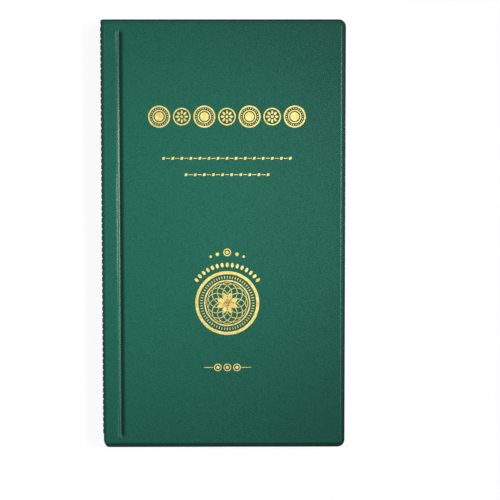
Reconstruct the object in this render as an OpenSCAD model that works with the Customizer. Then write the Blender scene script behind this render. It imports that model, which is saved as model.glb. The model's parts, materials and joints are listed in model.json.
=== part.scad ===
// Coin album: a welded vinyl case over grey board, with ten clear pocket leaves on guard strips.
// It lies closed on its back cover. X runs from the spine to the fore edge, Y from tail to head, and Z up.
// The origin is the centre of the footprint, on the surface that the back cover rests on.

/* [Album] */
// Width of the closed album, from the spine ribs to the fore edge
album_w = 165; // [135:1:200]
// Height of the covers, from tail to head
album_h = 290; // [240:1:350]
// Number of pocket leaves
leaf_count = 10; // [4:1:12]
// Radius of a cover's two fore-edge corners
fore_corner_r = 5; // [2:0.5:8]
// Radius of the spine corner at the head
head_corner_r = 1.5; // [1:0.5:6]
// Width of the spine corner's rounding at the tail
tail_corner_r = 3; // [1:0.5:6]
// Height of that rounding, as a multiple of its width
tail_corner_stretch = 2; // [1:0.1:3]

/* [Covers] */
// Thickness of the outer vinyl skin
skin_t = 0.4; // [0.3:0.05:0.8]
// Thickness of the grey boards
board_t = 1.8; // [1.4:0.1:2.4]
// Thickness of the inner lining
lining_t = 0.4; // [0.3:0.05:0.6]
// Distance from a cover's edge to its board
rim_w = 3.4; // [2.6:0.1:4.5]
// Width of the flat weld round the edge
flange_w = 1.6; // [1:0.1:2]
// Thickness of the outer skin in that weld
flange_t = 0.7; // [0.4:0.05:1]

/* [Binding] */
// Width of the binding strip, from the spine ribs to the groove
strip_w = 12; // [10:0.5:18]
// Width of the hinge groove between its upright walls
groove_w = 3; // [2.6:0.1:5]
// Radius of the groove's outer lips
lip_r = 0.9; // [0.5:0.1:1]
// Depth of the hinge line below the outer face
hinge_depth = 1; // [0.8:0.1:1.1]
// Thickness of the welded hinge web
web_t = 0.5; // [0.3:0.05:0.7]
// Width of the vinyl wall between a board and its groove
lip_wall = 1; // [0.6:0.1:1.5]
// Radius of the fold where a strip turns into the spine
fold_r = 1.2; // [0.6:0.1:1.5]
// Gap between the spine board and a strip board
fold_gap = 0.6; // [0.3:0.1:1.5]
// Distance between two spine ribs
rib_pitch = 4; // [3:0.5:8]
// Height of the spine ribs
rib_depth = 0.5; // [0.2:0.1:1]

/* [Leaves] */
// Thickness of the clear film
film_t = 0.2; // [0.15:0.05:0.3]
// Height of the weld seams, which is the empty pocket's gap
seam_t = 0.3; // [0.1:0.05:0.4]
// Distance from one leaf to the next
leaf_pitch = 1.2; // [1.1:0.1:2.5]
// Pockets across a leaf
columns = 3; // [2:1:5]
// Pockets down a leaf
rows = 6; // [3:1:8]
// Width of a weld seam
seam_w = 3; // [2:0.5:5]
// Open slit at each pocket's mouth
mouth_gap = 1.5; // [1:0.5:4]
// Width of the thumb cut at each mouth
thumb_w = 20; // [12:1:24]
// Depth of the thumb cut
thumb_depth = 5; // [3:0.5:8]
// Plain film between the leaf's fold and its first seam
binding_margin = 4.6; // [4:0.2:12]
// Plain film beyond the outer seams
leaf_margin = 1; // [0.5:0.5:4]
// How far the leaves stop short of the covers at the fore edge
fore_inset = 5; // [3.5:0.5:10]
// How far the leaves stop short of the covers at head and tail
end_inset = 5; // [3.5:0.5:10]

/* [Stamping] */
// Thickness of the stamped foil
foil_t = 0.05; // [0.03:0.01:0.1]
// Distance of the ornament's centre line from the spine
art_from_spine = 85; // [70:1:100]
// Height of the title frieze above the middle of the cover
frieze_up = 80; // [60:1:100]
// Length of the title frieze
frieze_len = 106; // [80:1:120]
// Height of the upper rule above the middle of the cover
upper_rule_up = 52; // [40:0.5:70]
// Length of the upper rule
upper_rule_len = 88; // [50:1:110]
// Height of the lower rule above the middle of the cover
lower_rule_up = 41; // [25:0.5:55]
// Length of the lower rule
lower_rule_len = 58; // [30:1:80]
// Depth of the emblem's centre below the middle of the cover
emblem_down = 46; // [30:1:70]
// Outer radius of the emblem's ring
emblem_r = 21.7; // [12:0.1:28]
// Width of the emblem's ring
emblem_ring_w = 2; // [1:0.1:4]
// Outer radius of the emblem's medallion
medallion_r = 15.7; // [8:0.1:18]
// Depth of the tail ornament below the middle of the cover
tail_ornament_down = 90; // [75:1:110]

/* [Clearances] */
// Half of the gap at each leaf's fold
fold_clearance = 0.15; // [0.1:0.05:0.3]
// How far the leaves' fold line lies beyond the cover's hinge line
leaf_offset = 0.4; // [0.3:0.1:1]

/* [Hidden] */
$fn = 48;
LEAF_PIECES = ["back_film", "pocket_film", "weld_seams"];

// Colours
VINYL_GREEN = "#296858";
LINING_GREEN = "#1f5245";
BOARD_GREY = "#9a958a";
GUARD_WHITE = "#e4e6e2";
FILM_CLEAR = "#dfe9ee";
FOIL_GOLD = "#d9b24a";

// Covers and binding, worked out from the sizes above
eps = 0.01;
arc_steps = 8;
cover_t = skin_t + board_t + lining_t;
guard_t = leaf_pitch - film_t;
stack_t = leaf_count * leaf_pitch + guard_t;
album_t = stack_t + 2 * cover_t;
spine_x = -album_w / 2;
fore_x = album_w / 2;
end_y = album_h / 2;
lip_x = spine_x + strip_w;
cover_x = lip_x + groove_w;
hinge_x = lip_x + groove_w / 2;
flange_depth = skin_t + board_t - flange_t;
spine_board_x = spine_x + rib_depth + skin_t;
channel_x = spine_board_x + board_t + lining_t;
board_end_y = end_y - rim_w;

// Leaves
leaf_x = hinge_x + leaf_offset;
leaf_start_x = leaf_x + fold_clearance;
leaf_end_x = fore_x - fore_inset;
leaf_end_y = end_y - end_inset;
field_x = leaf_x + binding_margin;
field_w = leaf_end_x - leaf_margin - field_x;
field_y = -leaf_end_y + leaf_margin;
field_h = 2 * (leaf_end_y - leaf_margin);
column_pitch = (field_w - seam_w) / columns;
row_pitch = (field_h - seam_w) / rows;
first_leaf_z = cover_t + guard_t;

// Stamping
art_x = spine_x + art_from_spine;
rule_w = 0.7;

function two_digits(n) = n < 10 ? str("0", n) : str(n);
function leaf_node(leaf, piece) = str("leaf_", two_digits(leaf), "_", piece);
// Leaf 1 lies at the top, under the front cover.
function leaf_z(leaf) = first_leaf_z + (leaf_count - leaf) * leaf_pitch;
function arc(cx, cy, r, from, to, stretch = 1) =
  [for (i = [0:arc_steps])
    let (a = from + (to - from) * i / arc_steps) [cx + r * cos(a), cy + stretch * r * sin(a)]];

// A block between two corners
module slab(low, high) {
  translate(low) cube(high - low);
}

// Extrudes a profile drawn in X and Z along the whole height of the album
module along_y(half_length) {
  translate([0, half_length, 0]) rotate([90, 0, 0]) linear_extrude(2 * half_length) children();
}

// Everything at the front has a twin at the back, mirrored through the middle of the thickness
module as_back() {
  translate([0, 0, album_t]) mirror([0, 0, 1]) children();
}

// The album's side view along X: a raised plateau that falls to the flat weld at head and tail
module end_view() {
  inner_y = end_y - rim_w;
  weld_y = end_y - flange_w;
  upper = album_t - flange_depth;
  polygon([
    [-inner_y, 0], [inner_y, 0], [weld_y, flange_depth], [end_y, flange_depth],
    [end_y, upper], [weld_y, upper], [inner_y, album_t], [-inner_y, album_t],
    [-weld_y, upper], [-end_y, upper], [-end_y, flange_depth], [-weld_y, flange_depth]
  ]);
}

module end_shape() {
  translate([spine_x - eps, 0, 0]) rotate([90, 0, 90]) linear_extrude(album_w + 2 * eps) end_view();
}

// Outline of a cover from above, with its two rounded fore-edge corners
module cover_outline() {
  r = fore_corner_r;
  polygon(concat(
    [[cover_x, -end_y]], arc(fore_x - r, r - end_y, r, -90, 0),
    arc(fore_x - r, end_y - r, r, 0, 90), [[cover_x, end_y]]
  ));
}

// One spine rib after another, as points down the spine from head to tail
function rib_points(from_y, to_y) =
  let (count = floor((from_y - to_y) / rib_pitch), top = (from_y + to_y + count * rib_pitch) / 2)
  [for (i = [0:count - 1]) for (p = [[0.05, rib_depth], [0.2, 0], [0.8, 0], [0.95, rib_depth]])
    [spine_x + p[1], top - (i + p[0]) * rib_pitch]];

// Outline of the binding from above, with the ribbed spine, a head corner that flares out as far as
// the ribs do, and a slender tail corner
module binding_outline() {
  valley_x = spine_x + rib_depth;
  tail_h = tail_corner_r * tail_corner_stretch;
  polygon(concat(
    [[lip_x, end_y]], arc(spine_x + head_corner_r, end_y - head_corner_r, head_corner_r, 90, 180),
    rib_points(end_y - head_corner_r - 2, tail_h - end_y + 2),
    arc(valley_x + tail_corner_r, tail_h - end_y, tail_corner_r, 180, 270, tail_corner_stretch),
    [[lip_x, -end_y]]
  ));
}

// Outer section of the binding, folded at the spine and rounded at both grooves
module binding_section() {
  polygon(concat(
    arc(spine_x + fold_r, fold_r, fold_r, 180, 270), arc(lip_x - lip_r, lip_r, lip_r, -90, 0),
    arc(lip_x - lip_r, album_t - lip_r, lip_r, 0, 90),
    arc(spine_x + fold_r, album_t - fold_r, fold_r, 90, 180)
  ));
}

module strip_board_shape() {
  slab(
    [spine_board_x, -board_end_y, album_t - skin_t - board_t],
    [lip_x - lip_wall, board_end_y, album_t - skin_t]
  );
}

module spine_board_shape() {
  clear = skin_t + board_t + fold_gap;
  slab([spine_board_x, -board_end_y, clear], [spine_board_x + board_t, board_end_y, album_t - clear]);
}

// The inside of the binding out to the back of its lining
module lining_channel() {
  slab(
    [channel_x - lining_t, -end_y - eps, cover_t - lining_t],
    [lip_x + eps, end_y + eps, album_t - cover_t + lining_t]
  );
}

module binding_skin() {
  color(VINYL_GREEN) difference() {
    intersection() {
      along_y(end_y) binding_section();
      linear_extrude(album_t) binding_outline();
      end_shape();
    }
    lining_channel();
    strip_board_shape();
    as_back() strip_board_shape();
    spine_board_shape();
  }
}

module spine_board() {
  color(BOARD_GREY) spine_board_shape();
}

module front_strip_board() {
  color(BOARD_GREY) strip_board_shape();
}

module back_strip_board() {
  color(BOARD_GREY) as_back() strip_board_shape();
}

module binding_lining() {
  color(LINING_GREEN) difference() {
    intersection() {
      lining_channel();
      linear_extrude(album_t) binding_outline();
    }
    slab([channel_x, -end_y - 1, cover_t], [lip_x + 1, end_y + 1, album_t - cover_t]);
  }
}

// Strips between the leaves' tabs, which keep the binding as thick as the filled leaves
module guard_strips() {
  color(GUARD_WHITE) for (level = [0:leaf_count])
    translate([0, 0, cover_t + level * leaf_pitch])
      slab([channel_x, -leaf_end_y, 0], [hinge_x, leaf_end_y, guard_t]);
}

// The bound edge of each leaf, welded between two guard strips
module leaf_tabs() {
  color(FILM_CLEAR) for (leaf = [1:leaf_count])
    slab(
      [channel_x, -leaf_end_y, leaf_z(leaf)],
      [leaf_x - fold_clearance, leaf_end_y, leaf_z(leaf) + film_t]
    );
}

// The thin web that bends when a cover opens
module hinge_web_shape() {
  web_y = end_y - flange_w;
  hinge_z = album_t - hinge_depth;
  slab([lip_x, -web_y, hinge_z - web_t / 2], [cover_x, web_y, hinge_z + web_t / 2]);
}

module front_hinge_web() {
  color(VINYL_GREEN) hinge_web_shape();
}

module back_hinge_web() {
  color(VINYL_GREEN) as_back() hinge_web_shape();
}

module board_shape() {
  slab(
    [cover_x + lip_wall, -board_end_y, album_t - skin_t - board_t],
    [fore_x - rim_w, board_end_y, album_t - skin_t]
  );
}

// Section of the outer skin: a rounded lip at the groove and a bevel down to the fore-edge weld
module cover_section() {
  low = album_t - skin_t - board_t;
  polygon(concat(
    [[cover_x, low]], arc(cover_x + lip_r, album_t - lip_r, lip_r, 180, 90),
    [[fore_x - rim_w, album_t], [fore_x - flange_w, album_t - flange_depth]],
    [[fore_x, album_t - flange_depth], [fore_x, low]]
  ));
}

module cover_skin_shape() {
  difference() {
    intersection() {
      along_y(end_y) cover_section();
      linear_extrude(album_t) cover_outline();
      end_shape();
    }
    board_shape();
  }
}

module lining_shape() {
  translate([0, 0, album_t - cover_t]) linear_extrude(lining_t) cover_outline();
}

module front_cover_skin() {
  color(VINYL_GREEN) cover_skin_shape();
}

module front_board() {
  color(BOARD_GREY) board_shape();
}

module front_lining() {
  color(LINING_GREEN) lining_shape();
}

module back_cover_skin() {
  color(VINYL_GREEN) as_back() cover_skin_shape();
}

module back_board() {
  color(BOARD_GREY) as_back() board_shape();
}

module back_lining() {
  color(LINING_GREEN) as_back() lining_shape();
}

module foil_disc(r) {
  cylinder(h = foil_t, r = r);
}

module foil_ring(r, w) {
  difference() {
    foil_disc(r);
    translate([0, 0, -eps]) cylinder(h = foil_t + 2 * eps, r = r - w);
  }
}

module foil_rule(len) {
  translate([-len / 2, -rule_w / 2, 0]) cube([len, rule_w, foil_t]);
}

// Plain ornament in gold foil: a frieze of coins, two rules, a ringed medallion and a tail ornament
module foil_stamping() {
  coin_r = 7.4;
  coins = 7;
  coin_step = (frieze_len - 2 * coin_r) / (coins - 1);
  color(FOIL_GOLD) translate([art_x, 0, album_t]) {
    for (i = [0:coins - 1]) translate([i * coin_step - frieze_len / 2 + coin_r, frieze_up, 0]) {
      foil_ring(coin_r, 1.1);
      foil_disc(4.6);
    }
    translate([0, upper_rule_up, 0]) foil_rule(upper_rule_len);
    translate([0, lower_rule_up, 0]) foil_rule(lower_rule_len);
    translate([0, -emblem_down, 0]) {
      foil_ring(emblem_r, emblem_ring_w);
      foil_ring(medallion_r, 1);
      foil_disc(medallion_r / 3);
    }
    translate([0, -tail_ornament_down, 0]) foil_rule(30);
  }
}

module back_film(leaf) {
  color(FILM_CLEAR)
    slab([leaf_start_x, -leaf_end_y, leaf_z(leaf)], [leaf_end_x, leaf_end_y, leaf_z(leaf) + film_t]);
}

// Welds that join the two films: one upright on each side of a column, and one under each row
module weld_seams(leaf) {
  low = leaf_z(leaf) + film_t;
  color(FILM_CLEAR) union() {
    for (column = [0:columns]) let (x = field_x + column * column_pitch)
      slab([x, field_y, low], [x + seam_w, field_y + field_h, low + seam_t]);
    for (row = [0:rows - 1]) let (y = field_y + row * row_pitch)
      slab([field_x, y, low], [field_x + field_w, y + seam_w, low + seam_t]);
  }
}

// The front film is one strip for each row, open along its upper edge, with a thumb cut in each pocket
module pocket_film(leaf) {
  low = leaf_z(leaf) + film_t + seam_t;
  strip_h = row_pitch - mouth_gap;
  thumb_r = (thumb_w * thumb_w / 4 + thumb_depth * thumb_depth) / (2 * thumb_depth);
  color(FILM_CLEAR) for (row = [0:rows - 1]) translate([field_x, field_y + row * row_pitch, low])
    difference() {
      cube([field_w, strip_h, film_t]);
      for (column = [0:columns - 1])
        translate([(column + 0.5) * column_pitch + seam_w / 2, strip_h + thumb_r - thumb_depth, -eps])
          cylinder(h = film_t + 2 * eps, r = thumb_r);
    }
}

binding_skin();
spine_board();
front_strip_board();
back_strip_board();
binding_lining();
guard_strips();
leaf_tabs();
front_hinge_web();
back_hinge_web();
front_cover_skin();
front_board();
front_lining();
foil_stamping();
back_cover_skin();
back_board();
back_lining();
for (leaf = [1:leaf_count]) {
  back_film(leaf);
  pocket_film(leaf);
  weld_seams(leaf);
}
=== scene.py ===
import json
import math

import bmesh
import bpy
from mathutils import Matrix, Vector, noise


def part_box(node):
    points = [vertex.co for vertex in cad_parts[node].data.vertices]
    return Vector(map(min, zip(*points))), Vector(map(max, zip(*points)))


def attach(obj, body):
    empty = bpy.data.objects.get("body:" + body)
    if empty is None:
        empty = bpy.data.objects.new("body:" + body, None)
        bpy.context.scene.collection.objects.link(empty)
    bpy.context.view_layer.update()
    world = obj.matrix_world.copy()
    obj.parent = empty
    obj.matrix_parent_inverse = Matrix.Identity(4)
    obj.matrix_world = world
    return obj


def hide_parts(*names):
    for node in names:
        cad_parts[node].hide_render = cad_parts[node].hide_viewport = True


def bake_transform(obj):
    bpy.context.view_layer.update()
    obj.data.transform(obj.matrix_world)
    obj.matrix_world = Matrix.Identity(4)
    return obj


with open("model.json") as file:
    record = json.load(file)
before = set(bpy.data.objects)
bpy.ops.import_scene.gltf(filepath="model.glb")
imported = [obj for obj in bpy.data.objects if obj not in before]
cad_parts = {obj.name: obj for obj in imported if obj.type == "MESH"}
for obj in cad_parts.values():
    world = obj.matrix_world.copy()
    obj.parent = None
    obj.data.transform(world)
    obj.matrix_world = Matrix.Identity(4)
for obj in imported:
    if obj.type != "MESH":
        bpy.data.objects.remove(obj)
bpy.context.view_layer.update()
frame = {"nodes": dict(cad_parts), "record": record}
mm = 0.001
print("frame loaded:", len(frame["nodes"]), "nodes")

# Places that the pieces share, read from the frame
coverLow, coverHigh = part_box("front_cover_skin")
bindingLow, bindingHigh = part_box("binding_skin")
album = {
    "spine": bindingLow[0] / mm,
    "lip": bindingHigh[0] / mm,  # binding side of the hinge groove
    "cover": coverLow[0] / mm,  # cover side of the hinge groove
    "fore": coverHigh[0] / mm,
    "end": coverHigh[1] / mm,
    "top": bindingHigh[2] / mm,
}
grooveMiddle = (album["lip"] + album["cover"]) / 2
seamIn = 6.5  # from the spine to where its sheet meets the two hinged sheets, on a flat
seamX = album["spine"] + seamIn


# Small helpers


def clamp(value, low=0.0, high=1.0):
    return max(low, min(high, value))


def ease(t):
    t = clamp(t)
    return t * t * (3 - 2 * t)


def mix(a, b, t):
    return a + (b - a) * t


def spread(start, end, step):
    # evenly spaced values from start to end, about a step apart
    count = max(1, round(abs(end - start) / step))
    return [start + (end - start) * i / count for i in range(count + 1)]


def tidyLines(values, least=0.04):
    kept = []
    for value in sorted(values):
        if not kept or value - kept[-1] > least:
            kept.append(value)
    return kept


def linear(hexColour, alpha=1.0):
    parts = [int(hexColour[i : i + 2], 16) / 255 for i in (1, 3, 5)]
    return (*[p / 12.92 if p <= 0.04045 else ((p + 0.055) / 1.055) ** 2.4 for p in parts], alpha)


def addNode(tree, kind, feeds=None, **settings):
    # each input is fed by another node's output or holds a value
    node = tree.nodes.new(kind)
    for name, value in settings.items():
        setattr(node, name, value)
    for socket, feed in (feeds or {}).items():
        if isinstance(feed, bpy.types.NodeSocket):
            tree.links.new(feed, node.inputs[socket])
        else:
            node.inputs[socket].default_value = feed
    return node


def sizedTree(name, sizes):
    # a geometry tree with one named input for each of its piece's sizes
    tree = bpy.data.node_groups.new(name, "GeometryNodeTree")
    tree.interface.new_socket(name="Geometry", in_out="INPUT", socket_type="NodeSocketGeometry")
    tree.interface.new_socket(name="Material", in_out="INPUT", socket_type="NodeSocketMaterial")
    for size in sizes:
        kind = "NodeSocketInt" if size.endswith("Count") else "NodeSocketFloat"
        tree.interface.new_socket(name=size, in_out="INPUT", socket_type=kind)
    tree.interface.new_socket(name="Geometry", in_out="OUTPUT", socket_type="NodeSocketGeometry")
    return tree, addNode(tree, "NodeGroupInput").outputs


def closeTree(tree, geometry, given):
    real = addNode(tree, "GeometryNodeRealizeInstances", {"Geometry": geometry})
    coat = {"Geometry": real.outputs["Geometry"], "Material": given["Material"]}
    painted = addNode(tree, "GeometryNodeSetMaterial", coat)
    addNode(tree, "NodeGroupOutput", {"Geometry": painted.outputs["Geometry"]})
    return tree


def newMaterial(name):
    material = bpy.data.materials.new(name)
    material.use_nodes = True
    tree = material.node_tree
    tree.nodes.clear()
    coords = addNode(tree, "ShaderNodeTexCoord").outputs["Object"]
    shader = addNode(tree, "ShaderNodeBsdfPrincipled")
    addNode(tree, "ShaderNodeOutputMaterial", {"Surface": shader.outputs["BSDF"]})
    return material, tree, coords, shader


def meshObject(name, points, faces, material, sharpAngle=38):
    # points in millimetres; faces are wound again so that they all look outwards
    mesh = bpy.data.meshes.new(name)
    mesh.from_pydata([Vector(p) * mm for p in points], [], faces)
    work = bmesh.new()
    work.from_mesh(mesh)
    bmesh.ops.recalc_face_normals(work, faces=work.faces)
    work.to_mesh(mesh)
    work.free()
    mesh.polygons.foreach_set("use_smooth", [True] * len(mesh.polygons))
    mesh.set_sharp_from_angle(angle=math.radians(sharpAngle))
    mesh.materials.append(material)
    piece = bpy.data.objects.new(name, mesh)
    bpy.context.scene.collection.objects.link(piece)
    return piece


def shell(name, outer, inner, material):
    # a closed sheet from two grids of points of the same size
    rows, columns = len(outer), len(outer[0])
    points = [p for row in outer for p in row] + [p for row in inner for p in row]
    half = rows * columns
    faces = []
    for i in range(rows - 1):
        for j in range(columns - 1):
            a = i * columns + j
            b, c, d = a + 1, a + columns + 1, a + columns
            faces += [(a, b, c, d), (half + d, half + c, half + b, half + a)]
    ring = list(range(columns)) + [i * columns + columns - 1 for i in range(1, rows)]
    ring += [(rows - 1) * columns + j for j in range(columns - 2, -1, -1)]
    ring += [i * columns for i in range(rows - 2, 0, -1)]
    for k, a in enumerate(ring):
        b = ring[(k + 1) % len(ring)]
        faces.append((b, a, half + a, half + b))
    return meshObject(name, points, faces, material)


# Materials

# Embossed soft PVC: satin and a little uneven in tone. Its pebbles are really about 0.6 mm across, and
# are drawn at 1.25 mm so that they show.
leatheretteLook = {
    "dark": "#155748",
    "light": "#185E4E",
    # painted shade in the pebbles' furrows
    "valley": "#124E3F",
    # the colour of the painted shade at the welds, in the groove and on the spine
    "pressedAndShade": "#05261E",
    "tone": 70,  # width of the slow changes in tone
    "mottle": 5,
    "grain": 1.25,
    "furrow": 0.28,  # share of a pebble that slopes to its furrow
    "drift": 0.5,  # how far the pebbles are pushed about
    "driftScale": 900.0,  # per metre, as is the next
    "pores": 3800.0,
}


def makeLeatherette():
    look = leatheretteLook
    material, tree, coords, shader = newMaterial("embossedVinylLeatherette")
    tone = addNode(
        tree, "ShaderNodeTexNoise", {"Vector": coords, "Scale": 1000 / look["tone"], "Detail": 2.0}
    )
    mottle = addNode(
        tree, "ShaderNodeTexNoise", {"Vector": coords, "Scale": 1000 / look["mottle"], "Detail": 3.0}
    )
    blend = {"Factor": 0.3, "A": tone.outputs["Fac"], "B": mottle.outputs["Fac"]}
    uneven = addNode(tree, "ShaderNodeMix", blend)
    shades = {"Factor": uneven.outputs["Result"], "A": linear(look["dark"]), "B": linear(look["light"])}
    body = addNode(tree, "ShaderNodeMix", shades, data_type="RGBA")
    # the pebbles: cells with soft furrows between them, pushed about by a little noise; the furrows take a
    # painted shade
    drift = addNode(
        tree, "ShaderNodeTexNoise", {"Vector": coords, "Scale": look["driftScale"], "Detail": 1.0}
    )
    push = {0: drift.outputs["Color"], 1: (look["drift"] * mm,) * 3}
    pushed = addNode(tree, "ShaderNodeVectorMath", push, operation="MULTIPLY")
    bent = addNode(tree, "ShaderNodeVectorMath", {0: coords, 1: pushed.outputs[0]}, operation="ADD")
    grid = {"Vector": bent.outputs[0], "Scale": 1000 / look["grain"], "Randomness": 0.9}
    cells = addNode(tree, "ShaderNodeTexVoronoi", grid, feature="DISTANCE_TO_EDGE")
    span = {"Value": cells.outputs["Distance"], "From Min": 0.0, "From Max": look["furrow"]}
    pebble = addNode(tree, "ShaderNodeMapRange", span, interpolation_type="SMOOTHSTEP")
    # painted shade in the furrows
    shades = {"Factor": pebble.outputs["Result"], "A": linear(look["valley"]), "B": body.outputs["Result"]}
    colour = addNode(tree, "ShaderNodeMix", shades, data_type="RGBA")
    # painted shade: the mask darkens the edge welds, the tail, the groove's floor and the spine's fold and
    # face, and makes them smoother
    pressedAndShade = addNode(tree, "ShaderNodeAttribute", attribute_name="pressedAndShade").outputs["Fac"]
    shades = {"Factor": pressedAndShade, "A": colour.outputs["Result"], "B": linear(look["pressedAndShade"])}
    withShade = addNode(tree, "ShaderNodeMix", shades, data_type="RGBA")
    satin = addNode(
        tree, "ShaderNodeMapRange", {"Value": mottle.outputs["Fac"], "To Min": 0.31, "To Max": 0.37}
    )
    rough = addNode(tree, "ShaderNodeMix", {"Factor": pressedAndShade, "A": satin.outputs["Result"], "B": 0.3})
    fine = addNode(tree, "ShaderNodeTexNoise", {"Vector": coords, "Scale": look["pores"], "Detail": 2.0})
    heights = {0: fine.outputs["Fac"], 1: 0.25, 2: pebble.outputs["Result"]}
    height = addNode(tree, "ShaderNodeMath", heights, operation="MULTIPLY_ADD")
    bump = addNode(
        tree, "ShaderNodeBump", {"Height": height.outputs[0], "Strength": 0.6, "Distance": 0.00006}
    )
    tree.links.new(withShade.outputs["Result"], shader.inputs["Base Color"])
    tree.links.new(rough.outputs["Result"], shader.inputs["Roughness"])
    tree.links.new(bump.outputs["Normal"], shader.inputs["Normal"])
    shader.inputs["IOR"].default_value = 1.53
    shader.inputs["Specular IOR Level"].default_value = 0.2
    return material


# Calendered PVC without embossing: smoother and a little darker than the outside
liningLook = {"dark": "#184C40", "light": "#1F5A4C", "tone": 45}


def makeLining():
    look = liningLook
    material, tree, coords, shader = newMaterial("smoothVinylLining")
    tone = addNode(
        tree, "ShaderNodeTexNoise", {"Vector": coords, "Scale": 1000 / look["tone"], "Detail": 4.0}
    )
    shades = {"Factor": tone.outputs["Fac"], "A": linear(look["dark"]), "B": linear(look["light"])}
    colour = addNode(tree, "ShaderNodeMix", shades, data_type="RGBA")
    fine = addNode(tree, "ShaderNodeTexNoise", {"Vector": coords, "Scale": 1400.0, "Detail": 3.0})
    bump = addNode(
        tree, "ShaderNodeBump", {"Height": fine.outputs["Fac"], "Strength": 0.25, "Distance": 0.00005}
    )
    rough = addNode(
        tree, "ShaderNodeMapRange", {"Value": fine.outputs["Fac"], "To Min": 0.42, "To Max": 0.56}
    )
    tree.links.new(colour.outputs["Result"], shader.inputs["Base Color"])
    tree.links.new(rough.outputs["Result"], shader.inputs["Roughness"])
    tree.links.new(bump.outputs["Normal"], shader.inputs["Normal"])
    shader.inputs["IOR"].default_value = 1.53
    return material


# Recycled grey board: matt, with flecks and fibres of about a millimetre
boardLook = {"dark": "#7B766C", "light": "#A7A294"}


def makeGreyBoard():
    look = boardLook
    material, tree, coords, shader = newMaterial("recycledGreyBoard")
    fleck = addNode(
        tree, "ShaderNodeTexNoise", {"Vector": coords, "Scale": 900.0, "Detail": 5.0, "Roughness": 0.7}
    )
    colour = addNode(tree, "ShaderNodeValToRGB", {"Fac": fleck.outputs["Fac"]})
    stops = ((0.32, look["dark"]), (0.62, look["light"]))
    for element, (place, shade) in zip(colour.color_ramp.elements, stops):
        element.position = place
        element.color = linear(shade)
    bump = addNode(
        tree, "ShaderNodeBump", {"Height": fleck.outputs["Fac"], "Strength": 0.4, "Distance": 0.00008}
    )
    tree.links.new(colour.outputs["Color"], shader.inputs["Base Color"])
    tree.links.new(bump.outputs["Normal"], shader.inputs["Normal"])
    shader.inputs["Roughness"].default_value = 0.92
    return material


# Polished soft PVC film: clear and faintly blue, milky at its cut edges, and more opaque at a glancing look
# as a painted sheen
filmLook = {"tint": "#E9F1F3", "wave": 24, "clear": 0.07, "glanceSheen": 0.5, "cut": 0.75}


def makeFilm():
    look = filmLook
    material, tree, coords, shader = newMaterial("clearSoftPvcFilm")
    wave = addNode(
        tree, "ShaderNodeTexNoise", {"Vector": coords, "Scale": 1000 / look["wave"], "Detail": 1.0}
    )
    bump = addNode(
        tree, "ShaderNodeBump", {"Height": wave.outputs["Fac"], "Strength": 0.6, "Distance": 0.0009}
    )
    # opacity that rises at a glancing look is a painted sheen
    facing = addNode(tree, "ShaderNodeLayerWeight", {"Blend": 0.5}).outputs["Facing"]
    slant = addNode(tree, "ShaderNodeMath", {0: facing, 1: 3}, operation="POWER").outputs[0]
    terms = {0: slant, 1: look["glanceSheen"], 2: look["clear"]}
    glanceSheen = addNode(tree, "ShaderNodeMath", terms, operation="MULTIPLY_ADD").outputs[0]
    cut = addNode(tree, "ShaderNodeAttribute", attribute_name="cutEdge").outputs["Fac"]
    milky = addNode(tree, "ShaderNodeMath", {0: cut, 1: look["cut"]}, operation="MULTIPLY").outputs[0]
    alpha = addNode(tree, "ShaderNodeMath", {0: glanceSheen, 1: milky}, operation="MAXIMUM").outputs[0]
    tree.links.new(bump.outputs["Normal"], shader.inputs["Normal"])
    tree.links.new(alpha, shader.inputs["Alpha"])
    shader.inputs["Base Color"].default_value = linear(look["tint"])
    shader.inputs["Roughness"].default_value = 0.12
    shader.inputs["IOR"].default_value = 1.53
    return material


# The same film where a ribbed bar has welded it: milky, with the bar's lines at 0.9 mm
weldLook = {"dark": "#BFD0D4", "light": "#EDF4F4", "lines": 0.9, "alpha": 0.28}


def makeWeld():
    look = weldLook
    material, tree, coords, shader = newMaterial("ribbedPvcWeld")
    turned = addNode(
        tree, "ShaderNodeMapping", {"Vector": coords, "Rotation": (0.0, 0.0, math.radians(45))}
    )
    waves = {"Vector": turned.outputs["Vector"], "Scale": 1000 / look["lines"] / 6.283, "Distortion": 0.0}
    lines = addNode(tree, "ShaderNodeTexWave", waves)
    shades = {"Factor": lines.outputs["Fac"], "A": linear(look["dark"]), "B": linear(look["light"])}
    tone = addNode(tree, "ShaderNodeMix", shades, data_type="RGBA")
    bump = addNode(
        tree, "ShaderNodeBump", {"Height": lines.outputs["Fac"], "Strength": 0.6, "Distance": 0.0001}
    )
    tree.links.new(tone.outputs["Result"], shader.inputs["Base Color"])
    tree.links.new(bump.outputs["Normal"], shader.inputs["Normal"])
    shader.inputs["Roughness"].default_value = 0.3
    shader.inputs["IOR"].default_value = 1.53
    shader.inputs["Alpha"].default_value = look["alpha"]
    return material


# Extruded white PVC strip: satin, with faint lines along its length
guardLook = {"dark": "#CFD2CB", "light": "#EEF0EA"}


def makeGuardPlastic():
    look = guardLook
    material, tree, coords, shader = newMaterial("extrudedWhitePvc")
    drawn = addNode(tree, "ShaderNodeMapping", {"Vector": coords, "Scale": (1.0, 0.02, 1.0)})
    streak = addNode(
        tree, "ShaderNodeTexNoise", {"Vector": drawn.outputs["Vector"], "Scale": 1600.0, "Detail": 3.0}
    )
    shades = {"Factor": streak.outputs["Fac"], "A": linear(look["dark"]), "B": linear(look["light"])}
    tone = addNode(tree, "ShaderNodeMix", shades, data_type="RGBA")
    bump = addNode(
        tree, "ShaderNodeBump", {"Height": streak.outputs["Fac"], "Strength": 0.2, "Distance": 0.00006}
    )
    tree.links.new(tone.outputs["Result"], shader.inputs["Base Color"])
    tree.links.new(bump.outputs["Normal"], shader.inputs["Normal"])
    shader.inputs["Roughness"].default_value = 0.42
    shader.inputs["IOR"].default_value = 1.53
    return material


# Metallised foil pressed on with a hot die: bright yellow gold that takes up some of the vinyl's grain
foilLook = {"deep": "#F0CB5C", "pale": "#FBEDA2", "patch": 1.7, "grain": 0.7}


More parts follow.
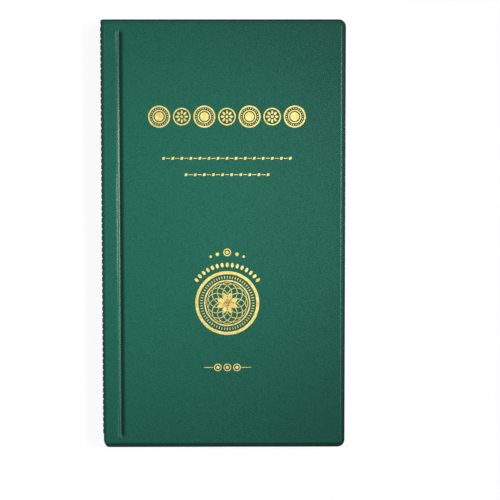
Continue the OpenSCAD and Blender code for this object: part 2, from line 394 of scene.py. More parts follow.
def makeFoil():
    look = foilLook
    material, tree, coords, shader = newMaterial("hotStampedGoldFoil")
    patch = addNode(
        tree, "ShaderNodeTexNoise", {"Vector": coords, "Scale": 1000 / look["patch"], "Detail": 3.0}
    )
    colour = addNode(tree, "ShaderNodeValToRGB", {"Fac": patch.outputs["Fac"]})
    stops = ((0.36, look["deep"]), (0.64, look["pale"]))
    for element, (place, shade) in zip(colour.color_ramp.elements, stops):
        element.position = place
        element.color = linear(shade)
    rough = addNode(
        tree, "ShaderNodeMapRange", {"Value": patch.outputs["Fac"], "To Min": 0.42, "To Max": 0.52}
    )
    grain = addNode(
        tree, "ShaderNodeTexNoise", {"Vector": coords, "Scale": 1000 / look["grain"], "Detail": 2.0}
    )
    bump = addNode(
        tree, "ShaderNodeBump", {"Height": grain.outputs["Fac"], "Strength": 0.4, "Distance": 0.00006}
    )
    tree.links.new(colour.outputs["Color"], shader.inputs["Base Color"])
    tree.links.new(rough.outputs["Result"], shader.inputs["Roughness"])
    tree.links.new(bump.outputs["Normal"], shader.inputs["Normal"])
    shader.inputs["Metallic"].default_value = 1.0
    return material


leatherette = makeLeatherette()
lining = makeLining()
greyBoard = makeGreyBoard()
film = makeFilm()
weld = makeWeld()
guardPlastic = makeGuardPlastic()
foil = makeFoil()
print("materials made")

# The case: shared shape

# Depths are below the outer face. The rim rounds over at a crest, drops to the flat weld and runs out.
rim = {
    "radius": 5.0, "crest": 3.6, "round": 1.7, "over": 0.85, "wall": 0.15, "fall": 1.5,
    "dish": 0.06, "shellBottom": 2.2, "thick": 2.6,
}
# Distances along the groove's section are from its middle, towards the cover
groove = {
    "half": 1.5, "floor": 0.84, "lip": 6.6, "lipFrom": -3.8, "wall": -0.98, "wallFoot": -0.85,
    "rise": 2.1, "riseTo": 2.3, "fadeFrom": 9.0, "fadeTo": 5.5, "skin": 0.4, "headLip": 0.6,
}
# a crease that comes and goes along the lip: its start, bottom and end across the groove, and its depth
crease = {"from": -3.3, "bottom": -2.4, "to": -1.9, "depth": 0.2, "wander": 42, "seed": 5.46}
# where painted shade darkens the vinyl (edge welds, tail, fore edge and groove) and pressing smooths it,
# and over what distance that fades out
pressingAndShade = {
    "edge": 2.1, "edgeFade": 1.9, "tail": 4.0, "tailFade": 2.2, "tailShadeShare": 0.8, "fore": 2.9,
    "foreFade": 2.6, "grooveDrop": 0.55, "grooveFade": 0.25,
}
rimSteps = [0, 0.15, 0.6, 1.2, 1.8, 2.4, 2.58, 2.6, 2.75, 2.77, 2.85, 2.95, 3.05, 3.15, 3.3, 3.45, 3.6]
rimSteps += [4, 4.5, 5, 6, 7, 8, 9, 10]


def planPoint(x, y, fore, end, radius):
    # takes a square corner block onto its quarter disc, so that lines at one distance from the edge stay so
    a, b = (x - fore + radius) / radius, (abs(y) - end + radius) / radius
    if a > 0 and b > 0:
        k = max(a, b) / math.hypot(a, b)
        x, y = fore - radius + a * k * radius, math.copysign(end - radius + b * k * radius, y)
    return x, y


def edgeDistance(x, y, fore, end, radius):
    a, b = x - fore + radius, abs(y) - end + radius
    if a > 0 and b > 0:
        return radius - math.hypot(a, b)
    return min(fore - x, end - abs(y))


def rimDrop(distance):
    over = clamp(rim["crest"] - distance, 0, rim["over"])
    rounded = rim["round"] - math.sqrt(rim["round"] ** 2 - over * over)
    down = clamp((rim["crest"] - rim["over"] - distance) / rim["wall"])
    dished = rim["dish"] * ease((distance - rim["crest"]) / 1.7)
    return mix(rounded, rim["fall"], down) + dished + 0.08 * ease(1 - distance / 0.15)


def grooveDrop(x, lipShare=1.0):
    # a long rounded lip and a short wall on the binding's side, and a soft rise on the cover's
    u = x - grooveMiddle
    if u < groove["wallFoot"]:
        over = clamp(u - groove["lipFrom"], 0, groove["wall"] - groove["lipFrom"])
        edge = lipShare * (groove["lip"] - math.sqrt(groove["lip"] ** 2 - over * over))
        down = clamp((u - groove["wall"]) / (groove["wallFoot"] - groove["wall"]))
        return mix(edge, groove["floor"], down)
    return groove["floor"] * ease((groove["riseTo"] - u) / groove["rise"])


def grooveFade(y):
    return ease((album["end"] - abs(y) - groove["fadeTo"]) / (groove["fadeFrom"] - groove["fadeTo"]))


def creaseDrop(x, y):
    u = x - grooveMiddle
    if u < crease["bottom"]:
        dent = ease((u - crease["from"]) / (crease["bottom"] - crease["from"]))
    else:
        dent = ease((crease["to"] - u) / (crease["to"] - crease["bottom"]))
    present = ease(noise.noise(Vector((crease["seed"], y / crease["wander"], 0.5))) / 0.3 + 0.4)
    return crease["depth"] * dent * present


def ripple(x, y):
    # the board under the vinyl is never quite flat
    return 0.03 * noise.noise(Vector((x / 38, y / 38, 0.3)))


def skinDrop(x, y):
    distance = edgeDistance(x, y, album["fore"], album["end"], rim["radius"])
    lipShare = mix(1, groove["headLip"], ease((y - 55) / 60))  # the lip is flatter towards the head
    channel = (grooveDrop(x, lipShare) + creaseDrop(x, y)) * grooveFade(y)
    calm = ease((distance - 6) / 6) * (1 - clamp(channel * 8))
    return rimDrop(distance) + channel + (ripple(x, y) + 0.03) * calm


def skinInnerDrop(x, y):
    distance = edgeDistance(x, y, album["fore"], album["end"], rim["radius"])
    channel = clamp(grooveDrop(x) * grooveFade(y) / groove["floor"])
    under = skinDrop(x, y) + groove["skin"] - 0.2 * channel
    return mix(under, rim["shellBottom"], ease((3.2 - distance) / 1.4))


def liningRise(x, y):
    inward = ease((groove["half"] - abs(x - grooveMiddle)) / 0.45)
    return inward * ease((album["end"] - abs(y) - 2.0) / 3.0)


def liningInnerDrop(x, y):
    return rim["shellBottom"] - 1.1 * liningRise(x, y)


def liningFaceDrop(x, y):
    return rim["thick"] - 1.3 * liningRise(x, y)


yLines = [side * (album["end"] - d) for side in (-1, 1) for d in rimSteps]
yLines = tidyLines(yLines + spread(10 - album["end"], album["end"] - 10, 4))
grooveLines = [-3.9, -3.5, -3.3, -3.1, -2.9, -2.7, -2.55, -2.4, -2.25, -2.05, -1.9, -1.75, -1.6, -1.5]
grooveLines += [-1.4, -1.3, -1.2, -1.1, -1.04, -0.98, -0.93, -0.85, -0.7, -0.5, -0.3, 0, 0.3, 0.6, 0.8, 1]
grooveLines += [1.2, 1.4, 1.5, 1.7, 1.9, 2.1, 2.5, 3]


def sheetLines(start):
    lines = [grooveMiddle + u for u in grooveLines] + [album["fore"] - d for d in rimSteps]
    lines += spread(grooveMiddle + 3, album["fore"] - 10, 4) + spread(start, grooveMiddle - 3.9, 1.2)
    return tidyLines([x for x in lines if x >= start - 0.001])


def weldAndShadeShare(distance, y):
    # painted shade, darkest at the very edge, and across the whole of the tail's weld
    edge = ease((pressingAndShade["edge"] - distance) / pressingAndShade["edgeFade"])
    return max(edge, pressingAndShade["tailShadeShare"] * ease((pressingAndShade["tail"] - album["end"] - y) / pressingAndShade["tailFade"]))


def pressedAndShadeShare(x, y):
    # painted shade at the welds, along the fore edge, and on the groove's floor where it is deep
    weld = weldAndShadeShare(edgeDistance(x, y, album["fore"], album["end"], rim["radius"]), y)
    fore = ease((pressingAndShade["fore"] - album["fore"] + x) / pressingAndShade["foreFade"])
    depth = grooveDrop(x) * grooveFade(y)
    return max(weld, fore, ease((depth - pressingAndShade["grooveDrop"]) / pressingAndShade["grooveFade"]))


def markPressedAndShade(piece, shares):
    # stores the mask of painted shade and pressing on the points
    data = piece.data.attributes.new("pressedAndShade", "FLOAT", "POINT")
    data.data.foreach_set("value", shares)


def hingedSheet(name, start, outerDrop, innerDrop, material, atBack):
    top = album["top"]
    outer, inner, pressedAndShade = [], [], []
    for x in sheetLines(start):
        outerRow, innerRow = [], []
        for y in yLines:
            px, py = planPoint(x, y, album["fore"], album["end"], rim["radius"])
            zOuter, zInner = top - outerDrop(px, py), top - innerDrop(px, py)
            pressedAndShade.append(pressedAndShadeShare(px, py))
            if atBack:
                zOuter, zInner = top - zOuter, top - zInner
            outerRow.append((px, py, zOuter))
            innerRow.append((px, py, zInner))
        outer.append(outerRow)
        inner.append(innerRow)
    piece = shell(name, outer, inner, material)
    if outerDrop is skinDrop:
        markPressedAndShade(piece, pressedAndShade + pressedAndShade)
    return piece


def hinge(piece, nodes):
    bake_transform(piece)
    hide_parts(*nodes)


frontSkin = hingedSheet("front_skin_sheet", seamX, skinDrop, skinInnerDrop, leatherette, False)
hinge(frontSkin, ["front_cover_skin", "front_hinge_web"])
backSkin = hingedSheet("back_skin_sheet", seamX, skinDrop, skinInnerDrop, leatherette, True)
hinge(backSkin, ["back_cover_skin", "back_hinge_web"])
frontLining = hingedSheet(
    "front_lining_sheet", album["lip"], liningFaceDrop, liningInnerDrop, lining, False
)
hinge(frontLining, ["front_lining"])
backLining = hingedSheet(
    "back_lining_sheet", album["lip"], liningFaceDrop, liningInnerDrop, lining, True
)
hinge(backLining, ["back_lining"])
print("case sheets made")

# The case: spine with its ribs

spine = {
    "valley": 0.5, "fold": 1.2, "toLining": 2.7, "headCorner": 1.5, "headFlare": 0.46,
    # the last two on the next line are shares of painted shade on the spine's fold and on its face
    "tailCorner": 3.0, "tailHeight": 6.0, "foldShade": 0.5, "faceShade": 0.35,
}
ribs = {"pitch": 4.0, "ribCount": 69, "first": 140.25, "depth": 0.46, "crest": 2.4, "foot": 3.6}


def spineProfile():
    # down to mid-height: outer face, inside of the skin, face of the lining, and how far each point takes
    # part in the corners' shift and in the ribs
    top, left = album["top"], album["spine"]
    rows = []
    for x in (seamIn, 5.6, 4.8, 4.1, 3.5, 2.9, 2.3):
        z = top - rim["dish"] * ease((x - 2.3) / 1.6)
        lined = 3.0 + (x - 2.3) * 3.5 / 4.2
        shiftShare = (seamIn - x) / 4.8
        rows.append(((left + x, z), (left + x, z - 0.4), (left + lined, top - 2.2), shiftShare, 0.0))
    cx, cz = left + spine["valley"] + spine["fold"], top - spine["fold"]
    for angle in spread(90, 180, 10):
        c, s = math.cos(math.radians(angle)), math.sin(math.radians(angle))
        outer = (cx + spine["fold"] * c, cz + spine["fold"] * s)
        skin = (cx + 0.8 * c, cz + 0.8 * s)
        lined = (left + 3.0 + 0.3 * c, top - 2.5 + 0.3 * s)
        rows.append((outer, skin, lined, 1.0, ease((angle - 105) / 55)))
    for z in spread(cz, top / 2, 1.3)[1:]:
        lined = top / 2 + (z - top / 2) * (top / 2 - 2.5) / (top / 2 - spine["fold"])
        x = left + spine["valley"]
        rows.append(((x, z), (x + 0.4, z), (left + spine["toLining"], lined), 1.0, 1.0))
    return rows


def cornerShift(y):
    # the head's corner is small and flares out, and the tail's is slender
    width, height = (spine["headCorner"],) * 2 if y > 0 else (spine["tailCorner"], spine["tailHeight"])
    into = clamp((abs(y) - album["end"]) / height + 1)
    flare = spine["headFlare"] * ease((y - ribs["first"]) / 3.5)
    return width * (1 - math.sqrt(1 - into * into)) - flare


def ribLines():
    step = ribs["pitch"] / 10
    return [ribs["first"] - i * step for i in range(ribs["ribCount"] * 10 + 1)]


def makeRibTree():
    # raises rounded bars across the spine, one for each pitch, where ribShare allows
    tree, given = sizedTree("spineRibs", ribs)
    place = addNode(tree, "GeometryNodeInputPosition").outputs[0]
    y = addNode(tree, "ShaderNodeSeparateXYZ", {"Vector": place}).outputs["Y"]
    down = addNode(tree, "ShaderNodeMath", {0: given["first"], 1: y}, operation="SUBTRACT").outputs[0]
    along = addNode(tree, "ShaderNodeMath", {0: down, 1: given["pitch"]}, operation="DIVIDE").outputs[0]
    off = along  # becomes the distance from the middle of the nearest rib
    steps = (("FRACT", 0.0), ("SUBTRACT", 0.5), ("ABSOLUTE", 0.0), ("MULTIPLY", given["pitch"]))
    for operation, term in steps:
        off = addNode(tree, "ShaderNodeMath", {0: off, 1: term}, operation=operation).outputs[0]
    slope = {"Value": off, "To Min": 0.0, "To Max": 1.0}
    for socket, width in (("From Min", given["foot"]), ("From Max", given["crest"])):
        slope[socket] = addNode(tree, "ShaderNodeMath", {0: width, 1: 0.5}, operation="MULTIPLY").outputs[0]
    bar = addNode(tree, "ShaderNodeMapRange", slope, interpolation_type="SMOOTHSTEP")
    share = addNode(tree, "GeometryNodeInputNamedAttribute", {"Name": "ribShare"}, data_type="FLOAT")
    half = addNode(tree, "ShaderNodeMath", {0: given["ribCount"], 1: 0.5}, operation="MULTIPLY").outputs[0]
    within = addNode(tree, "ShaderNodeMath", {0: along, 1: half, 2: half}, operation="COMPARE")
    amount = given["depth"]
    for factor in (bar.outputs["Result"], within.outputs[0], share.outputs["Attribute"], -1.0):
        amount = addNode(tree, "ShaderNodeMath", {0: amount, 1: factor}, operation="MULTIPLY").outputs[0]
    offset = addNode(tree, "ShaderNodeCombineXYZ", {"X": amount}).outputs["Vector"]
    moved = addNode(tree, "GeometryNodeSetPosition", {"Geometry": given["Geometry"], "Offset": offset})
    return closeTree(tree, moved.outputs["Geometry"], given)


def grow(piece, tree, sizes, material):
    # runs a geometry tree on the piece, with its sizes in metres, and keeps the result as a plain mesh
    modifier = piece.modifiers.new("grow", "NODES")
    modifier.node_group = tree
    for item in tree.interface.items_tree:
        if item.item_type == "SOCKET" and item.in_out == "INPUT" and item.name in sizes:
            size = sizes[item.name]
            modifier[item.identifier] = size if item.name.endswith("Count") else size * mm
        if item.item_type == "SOCKET" and item.name == "Material":
            modifier[item.identifier] = material
    bpy.context.view_layer.update()
    evaluated = piece.evaluated_get(bpy.context.evaluated_depsgraph_get())
    mesh = bpy.data.meshes.new_from_object(evaluated)
    piece.modifiers.clear()
    old, piece.data = piece.data, mesh
    bpy.data.meshes.remove(old)
    mesh.name = piece.name


def makeSpine():
    half = spineProfile()
    top = album["top"]
    mirrored = [(*[(x, top - z) for x, z in row[:3]], row[3], row[4]) for row in reversed(half[:-1])]
    profile = half + mirrored
    ends = [album["end"] - d for d in rimSteps if d < 5]
    corners = []
    for side, height in ((1, spine["headCorner"]), (-1, spine["tailHeight"])):
        rounds = [height * (1 - math.sin(math.radians(a))) for a in range(0, 91, 10)]
        corners += [side * (album["end"] - r) for r in rounds]
    corners += spread(ribs["first"], ribs["first"] + 3.5, 0.7)
    lines = tidyLines([s * y for s in (-1, 1) for y in ends] + corners + ribLines(), 0.06)
    outer, inner, shares, pressedAndShade = [], [], [], []
    for (ox, oz), (ix, iz), (lx, lz), shiftShare, ribShare in profile:
        outerRow, innerRow = [], []
        for y in lines:
            drop = rimDrop(min(album["end"] - abs(y), rim["crest"]))
            squeeze = (top / 2 - drop) / (top / 2)
            shift = cornerShift(y) * shiftShare
            x = ox + shift
            outerRow.append((x, y, top / 2 + (oz - top / 2) * squeeze))
            closed = ease((album["end"] - abs(y) - 3.2) / 0.5)
            innerX = max(mix(lx, ix, closed), x + (0.15 if ribShare > 0.5 else 0.0))
            innerRow.append((innerX, y, mix(lz, iz, closed)))
            shares.append(ribShare)
            # painted shade on the spine's fold and face, which turn away from the key light
            tone = spine["foldShade"] * ease((album["spine"] + 3.0 - ox) / 1.1)
            pressedAndShade.append(max(weldAndShadeShare(album["end"] - abs(y), y), mix(tone, spine["faceShade"], ribShare)))
        outer.append(outerRow)
        inner.append(innerRow)
    piece = shell("spine_skin_sheet", outer, inner, leatherette)
    shareData = piece.data.attributes.new("ribShare", "FLOAT", "POINT")
    shareData.data.foreach_set("value", shares + [0.0] * len(shares))
    markPressedAndShade(piece, pressedAndShade + pressedAndShade)
    grow(piece, makeRibTree(), ribs, leatherette)
    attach(piece, "binding")
    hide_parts("binding_skin")
    return piece


spineSkin = makeSpine()
print("spine made:", len(spineSkin.data.polygons), "faces")

# Gold stamping

foilLow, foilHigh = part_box("foil_stamping")
foilX = (foilLow[0] + foilHigh[0]) / 2 / mm
foilSink = 0.02  # how far the foil is pressed into the vinyl
frieze = {
    "thick": 0.05, "length": 106, "largeCount": 4, "smallCount": 3, "large": 7.4, "small": 5.9,
    "largeRim": 1.0, "dot": 0.36, "dotCount": 22, "dotsAt": 5.55, "innerRing": 4.5, "innerRim": 0.7,
    "boss": 3.0, "smallRim": 0.8, "petal": 0.72, "petalCount": 8, "petalsAt": 2.95, "eye": 0.9,
}
upperRule = {"thick": 0.05, "length": 88, "lozengeCount": 15, "lozenge": 1.05, "gap": 3.4, "line": 0.45}
lowerRule = {"thick": 0.05, "length": 58, "lozengeCount": 10, "lozenge": 1.05, "gap": 3.4, "line": 0.45}
rosette = {
    "thick": 0.05, "ring": 21.7, "ringRim": 2.0, "tickCount": 60, "ticksAt": 17.6, "tick": 1.7,
    "tickLine": 0.5, "medallion": 15.7, "medallionRim": 0.9, "loopCount": 12, "loop": 6.9,
    "loopRim": 0.42, "loopsAt": 7.2, "petalCount": 8, "petal": 1.5, "petalsAt": 4.5, "eye": 1.9,
    "leafCount": 15, "leaf": 1.0, "leavesAt": 26.0, "crownUp": 34.5, "crown": 2.6, "crownRim": 0.7,
    "crownEye": 1.1, "nearBead": 1.2, "nearOut": 6.6, "nearUp": 33.2, "farBead": 0.8,
    "farOut": 11.2, "farUp": 31.6,
}
tail = {
    "thick": 0.05, "coinCount": 3, "length": 13, "coin": 2.6, "coinRim": 0.6, "eye": 1.1,
    "dash": 6.5, "dashOut": 12.8, "line": 0.45,
}


def disc(tree, given, radius, sides=24, stretch=1.0, turn=0.0):
    sizes = {"Radius": radius, "Depth": given["thick"], "Vertices": sides}
    flat = addNode(tree, "GeometryNodeMeshCylinder", sizes).outputs["Mesh"]
    shape = {"Geometry": flat, "Scale": (stretch, 1.0, 1.0), "Rotation": (0.0, 0.0, turn)}
    return addNode(tree, "GeometryNodeTransform", shape).outputs["Geometry"]


def ring(tree, given, radius, rimWidth, sides=48):
    terms = {0: rimWidth, 1: -0.5, 2: radius}
    middle = addNode(tree, "ShaderNodeMath", terms, operation="MULTIPLY_ADD").outputs[0]
    circle = addNode(tree, "GeometryNodeCurvePrimitiveCircle", {"Radius": middle, "Resolution": sides})
    sizes = {"Width": rimWidth, "Height": given["thick"]}
    section = addNode(tree, "GeometryNodeCurvePrimitiveQuadrilateral", sizes)
    curves = {"Curve": circle.outputs["Curve"], "Profile Curve": section.outputs["Curve"]}
    return addNode(tree, "GeometryNodeCurveToMesh", curves).outputs["Mesh"]


def bar(tree, given, length, width):
    size = addNode(tree, "ShaderNodeCombineXYZ", {"X": length, "Y": width, "Z": given["thick"]})
    return addNode(tree, "GeometryNodeMeshCube", {"Size": size.outputs["Vector"]}).outputs["Mesh"]


def joined(tree, *parts):
    join = addNode(tree, "GeometryNodeJoinGeometry")
    for part in parts:
        tree.links.new(part, join.inputs["Geometry"])
    return join.outputs["Geometry"]


def placed(tree, geometry, out=None, up=None, side=1.0):
    place = {}
    if out:
        place["X"] = addNode(tree, "ShaderNodeMath", {0: out, 1: side}, operation="MULTIPLY").outputs[0]
    if up:
        place["Y"] = up
    offset = addNode(tree, "ShaderNodeCombineXYZ", place).outputs["Vector"]
    move = {"Geometry": geometry, "Translation": offset}
    return addNode(tree, "GeometryNodeTransform", move).outputs["Geometry"]


def around(tree, geometry, count, radius, turn=0.0, sweep=None):
    # copies of a piece round a circle, each turned to point away from its middle
    gaps = count
    if sweep is not None:
        gaps = addNode(tree, "ShaderNodeMath", {0: count, 1: 1.0}, operation="SUBTRACT").outputs[0]
    step = addNode(tree, "ShaderNodeMath", {0: math.radians(sweep or 360), 1: gaps}, operation="DIVIDE")
    points = addNode(tree, "GeometryNodeMeshLine", {"Count": count, "Offset": (0.0, 0.0, 0.0)})
    index = addNode(tree, "GeometryNodeInputIndex").outputs[0]
    terms = {0: index, 1: step.outputs[0], 2: math.radians(turn)}
    angle = addNode(tree, "ShaderNodeMath", terms, operation="MULTIPLY_ADD").outputs[0]
    copies = {"Points": points.outputs["Mesh"], "Instance": placed(tree, geometry, out=radius)}
    copies["Rotation"] = addNode(tree, "ShaderNodeCombineXYZ", {"Z": angle}).outputs["Vector"]
    return addNode(tree, "GeometryNodeInstanceOnPoints", copies).outputs["Instances"]


def inRow(tree, geometry, count, length):
    gaps = addNode(tree, "ShaderNodeMath", {0: count, 1: 1.0}, operation="SUBTRACT").outputs[0]
    step = addNode(tree, "ShaderNodeMath", {0: length, 1: gaps}, operation="DIVIDE").outputs[0]
    first = addNode(tree, "ShaderNodeMath", {0: length, 1: -0.5}, operation="MULTIPLY").outputs[0]
    row = {"Count": count}
    for socket, x in (("Start Location", first), ("Offset", step)):
        row[socket] = addNode(tree, "ShaderNodeCombineXYZ", {"X": x}).outputs["Vector"]
    points = addNode(tree, "GeometryNodeMeshLine", row).outputs["Mesh"]
    copies = {"Points": points, "Instance": geometry}
    return addNode(tree, "GeometryNodeInstanceOnPoints", copies).outputs["Instances"]


def makeFriezeTree(name, sizes):
    tree, given = sizedTree(name, sizes)
    large = joined(
        tree,
        ring(tree, given, given["large"], given["largeRim"], 64),
        around(tree, disc(tree, given, given["dot"], 12), given["dotCount"], given["dotsAt"]),
        ring(tree, given, given["innerRing"], given["innerRim"]),
        disc(tree, given, given["boss"], 40),
    )
    small = joined(
        tree,
        ring(tree, given, given["small"], given["smallRim"], 64),
        around(tree, disc(tree, given, given["petal"], 16, 1.75), given["petalCount"], given["petalsAt"]),
        disc(tree, given, given["eye"]),
    )
    terms = {0: given["large"], 1: -2.0, 2: given["length"]}
    span = addNode(tree, "ShaderNodeMath", terms, operation="MULTIPLY_ADD").outputs[0]
    shorter = addNode(tree, "ShaderNodeMath", {0: span, 1: 2 / 3}, operation="MULTIPLY").outputs[0]
    largeRow = inRow(tree, large, given["largeCount"], span)
    smallRow = inRow(tree, small, given["smallCount"], shorter)
    return closeTree(tree, joined(tree, largeRow, smallRow), given)


def makeRuleTree(name, sizes):
    tree, given = sizedTree(name, sizes)
    lozenge = disc(tree, given, given["lozenge"], 4, 1.3, math.radians(45))
    terms = {0: given["lozenge"], 1: -2.6, 2: given["length"]}
    span = addNode(tree, "ShaderNodeMath", terms, operation="MULTIPLY_ADD").outputs[0]
    lozenges = given["lozengeCount"]
    dashCount = addNode(tree, "ShaderNodeMath", {0: lozenges, 1: 1.0}, operation="SUBTRACT").outputs[0]
    step = addNode(tree, "ShaderNodeMath", {0: span, 1: dashCount}, operation="DIVIDE").outputs[0]
    dashLength = addNode(
        tree, "ShaderNodeMath", {0: step, 1: given["gap"]}, operation="SUBTRACT"
    ).outputs[0]
    dashSpan = addNode(tree, "ShaderNodeMath", {0: span, 1: step}, operation="SUBTRACT").outputs[0]
    dashes = inRow(tree, bar(tree, given, dashLength, given["line"]), dashCount, dashSpan)
    return closeTree(tree, joined(tree, inRow(tree, lozenge, lozenges, span), dashes), given)


def makeRosetteTree(name, sizes):
    tree, given = sizedTree(name, sizes)
    tick = bar(tree, given, given["tick"], given["tickLine"])
    loop = ring(tree, given, given["loop"], given["loopRim"])
    petal = disc(tree, given, given["petal"], 24, 1.9)
    leaf = disc(tree, given, given["leaf"], 16, 1.6)
    parts = [
        ring(tree, given, given["ring"], given["ringRim"], 96),
        around(tree, tick, given["tickCount"], given["ticksAt"]),
        ring(tree, given, given["medallion"], given["medallionRim"], 80),
        around(tree, loop, given["loopCount"], given["loopsAt"]),
        around(tree, petal, given["petalCount"], given["petalsAt"], 22.5),
        disc(tree, given, given["eye"], 32),
        around(tree, leaf, given["leafCount"], given["leavesAt"], 37, 106),
        placed(tree, ring(tree, given, given["crown"], given["crownRim"]), up=given["crownUp"]),
        placed(tree, disc(tree, given, given["crownEye"]), up=given["crownUp"]),
    ]
    for side in (-1.0, 1.0):
        near, far = disc(tree, given, given["nearBead"]), disc(tree, given, given["farBead"])
        parts.append(placed(tree, near, given["nearOut"], given["nearUp"], side))
        parts.append(placed(tree, far, given["farOut"], given["farUp"], side))
    return closeTree(tree, joined(tree, *parts), given)


def makeTailTree(name, sizes):
    tree, given = sizedTree(name, sizes)
    edge = ring(tree, given, given["coin"], given["coinRim"], 32)
    coin = joined(tree, edge, disc(tree, given, given["eye"]))
    parts = [inRow(tree, coin, given["coinCount"], given["length"])]
    for side in (-1.0, 1.0):
        dash = bar(tree, given, given["dash"], given["line"])
        parts.append(placed(tree, dash, given["dashOut"], side=side))
    return closeTree(tree, joined(tree, *parts), given)


def stamp(name, makeTree, sizes, y):
    # foil lies on the vinyl and follows the gentle dish of the cover
    piece = bpy.data.objects.new(name, bpy.data.meshes.new(name))
    bpy.context.scene.collection.objects.link(piece)
    grow(piece, makeTree(name, sizes), sizes, foil)
    for vertex in piece.data.vertices:
        px, py = vertex.co.x / mm + foilX, vertex.co.y / mm + y
        above = sizes["thick"] / 2 + vertex.co.z / mm - foilSink
        vertex.co = Vector((px, py, album["top"] - skinDrop(px, py) + above)) * mm
    piece.data.set_sharp_from_angle(angle=math.radians(38))
    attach(piece, "front_cover")
    return piece


stamps = [
    stamp("coin_frieze", makeFriezeTree, frieze, 80),
    stamp("upper_rule", makeRuleTree, upperRule, 52),
    stamp("lower_rule", makeRuleTree, lowerRule, 41),
    stamp("ringed_rosette", makeRosetteTree, rosette, -46),
    stamp("tail_ornament", makeTailTree, tail, -90),
]
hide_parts("foil_stamping")
print("stamping made:", sum(len(s.data.polygons) for s in stamps), "faces")

# Leaves

leafSheet = {"radius": 3.0, "foldReach": 0.4, "into": 0.2, "cornerSteps": (0, 0.6, 1.2, 1.8, 2.4, 3.0)}


def makeLeafSheet(number):
    name = f"leaf_{number:02d}"
    low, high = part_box(f"{name}_back_film")
    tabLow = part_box("leaf_tabs")[0]
    joints = frame["record"]["behaviour"]["joints"]
    fold = next(j["pos_m"][0] for j in joints if j["name"] == f"{name}_fold") / mm
    start, fore, end = tabLow[0] / mm + leafSheet["into"], high[0] / mm, high[1] / mm
    reach, radius = leafSheet["foldReach"], leafSheet["radius"]
    xs = [start, start + 4, fold - 1.2, fold + 1, fold + 2.5, fold + 5]
    xs += spread(fold - reach, fold + reach, 0.08) + spread(fold + 9, fore - radius, 9)
    xs += [fore - radius + k for k in leafSheet["cornerSteps"]]
    ys = [side * (end - radius + k) for side in (-1, 1) for k in leafSheet["cornerSteps"]]
    ys += spread(radius - end, end - radius, 12)
    xs, ys = tidyLines(xs), tidyLines(ys)
    grids = []
    for z in (high[2] / mm, low[2] / mm):
        grids.append([[(*planPoint(x, y, fore, end, radius), z) for y in ys] for x in xs])
    piece = shell(f"{name}_sheet", grids[0], grids[1], film)
    broad = 2 * (len(grids[0]) - 1) * (len(grids[0][0]) - 1)
    cut = piece.data.attributes.new("cutEdge", "FLOAT", "FACE")
    cut.data.foreach_set("value", [float(i >= broad) for i in range(len(piece.data.polygons))])
    z = (low[2] + high[2]) / 2
    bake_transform(piece)
    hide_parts(*([f"{name}_back_film"] + (["leaf_tabs"] if number == 1 else [])))
    return piece


leafCount = sum(1 for name in frame["nodes"] if name.endswith("_pocket_film"))
leafSheets = [makeLeafSheet(n) for n in range(1, leafCount + 1)]
print("leaves made:", len(leafSheets))

# Finishes on the carried-over pieces

finishes = {"spine_board": greyBoard, "front_strip_board": greyBoard, "back_strip_board": greyBoard}
finishes.update({"front_board": greyBoard, "back_board": greyBoard, "guard_strips": guardPlastic})
finishes.update({"binding_lining": lining, "front_lining": lining, "back_lining": lining})
finishes.update({"leaf_tabs": film, "foil_stamping": foil})
for name, piece in frame["nodes"].items():
    chosen = finishes.get(name, leatherette)
    if name.endswith("_film"):
        chosen = film
    if name.endswith("_weld_seams"):
        chosen = weld
    piece.data.materials.clear()
    piece.data.materials.append(chosen)
print("finishes set")

# Floor, light and camera

studio = {"floor": 80.0, "table": 0.9, "horizon": 0.12, "zenith": 0.42}


def makeFloor():
    # a lit table, so that the album throws hardly any shadow
    material, tree, coords, shader = newMaterial("whiteLightTable")
    tooth = addNode(tree, "ShaderNodeTexNoise", {"Vector": coords, "Scale": 300.0, "Detail": 2.0})
    bump = addNode(
        tree, "ShaderNodeBump", {"Height": tooth.outputs["Fac"], "Strength": 0.05, "Distance": 0.0002}
    )
    tree.links.new(bump.outputs["Normal"], shader.inputs["Normal"])
    shader.inputs["Base Color"].default_value = linear("#6A6A6A")
    shader.inputs["Emission Color"].default_value = (1.0, 1.0, 1.0, 1.0)
    shader.inputs["Emission Strength"].default_value = studio["table"]
    shader.inputs["Roughness"].default_value = 0.9
    half = studio["floor"] / 2
    mesh = bpy.data.meshes.new("studio_floor")
    corners = [(-half, -half, 0), (half, -half, 0), (half, half, 0), (-half, half, 0)]
    mesh.from_pydata(corners, [], [(0, 1, 2, 3)])
    mesh.materials.append(material)
    floor = bpy.data.objects.new("studio_floor", mesh)
    bpy.context.scene.collection.objects.link(floor)
    floor.location.z = -0.0005  # just under the album


def makeSun(name, strength, spreadAngle, fromDirection):
    data = bpy.data.lights.new(name, "SUN")
    data.energy, data.angle = strength, math.radians(spreadAngle)
    lamp = bpy.data.objects.new(name, data)
    lamp.rotation_euler = Vector(fromDirection).to_track_quat("Z", "Y").to_euler()
    bpy.context.scene.collection.objects.link(lamp)


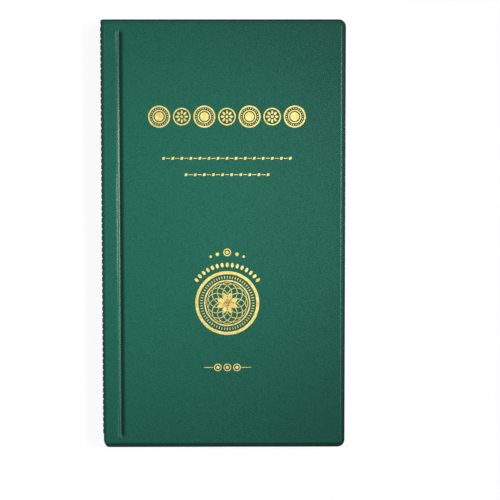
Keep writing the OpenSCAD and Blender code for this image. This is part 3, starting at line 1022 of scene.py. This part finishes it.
def makeSpot(name, power, radius, cone, place, aim):
    data = bpy.data.lights.new(name, "SPOT")
    data.energy, data.shadow_soft_size = power, radius
    data.spot_size, data.spot_blend = math.radians(cone), 1.0
    lamp = bpy.data.objects.new(name, data)
    lamp.location = place
    lamp.rotation_euler = (Vector(place) - Vector(aim)).to_track_quat("Z", "Y").to_euler()
    bpy.context.scene.collection.objects.link(lamp)


def makeAir():
    # darker than the table where it lights the album, and white where the camera looks past it
    world = bpy.data.worlds.new("studioAir")
    world.use_nodes = True
    tree = world.node_tree
    tree.nodes.clear()
    place = addNode(tree, "ShaderNodeTexCoord").outputs["Generated"]
    up = addNode(tree, "ShaderNodeSeparateXYZ", {"Vector": place}).outputs["Z"]
    levels = {"Value": up, "From Min": 0.1, "From Max": 0.7}
    levels.update({"To Min": studio["horizon"], "To Max": studio["zenith"]})
    level = addNode(tree, "ShaderNodeMapRange", levels).outputs["Result"]
    lighting = addNode(tree, "ShaderNodeBackground", {"Color": (1, 1, 1, 1), "Strength": level})
    seen = addNode(tree, "ShaderNodeBackground", {"Color": (1, 1, 1, 1), "Strength": 1.0})
    path = addNode(tree, "ShaderNodeLightPath").outputs["Is Camera Ray"]
    both = addNode(tree, "ShaderNodeMixShader", {0: path, 1: lighting.outputs[0], 2: seen.outputs[0]})
    addNode(tree, "ShaderNodeOutputWorld", {"Surface": both.outputs[0]})
    bpy.context.scene.world = world


def makeCamera():
    data = bpy.data.cameras.new("camera")
    data.lens, data.sensor_width = 104.7, 36.0
    data.clip_start, data.clip_end = 0.02, 30
    camera = bpy.data.objects.new("camera", data)
    camera.location = (0.0106, 0.0577, 1.0)
    camera.rotation_euler = [math.radians(a) for a in (-3.94, -0.43, -0.04)]
    bpy.context.scene.collection.objects.link(camera)
    bpy.context.scene.camera = camera


makeFloor()
makeSun("softFill", 0.9, 35, (0.62, 0.2, 0.76))
makeSpot("key", 38.5, 0.1, 31, (0.5, 0.08, 0.64), (-0.11, 0.006, 0))
makeAir()
makeCamera()
bpy.context.scene.view_settings.view_transform = "Standard"
bpy.context.scene.cycles.transparent_max_bounces = 64
print("studio made")
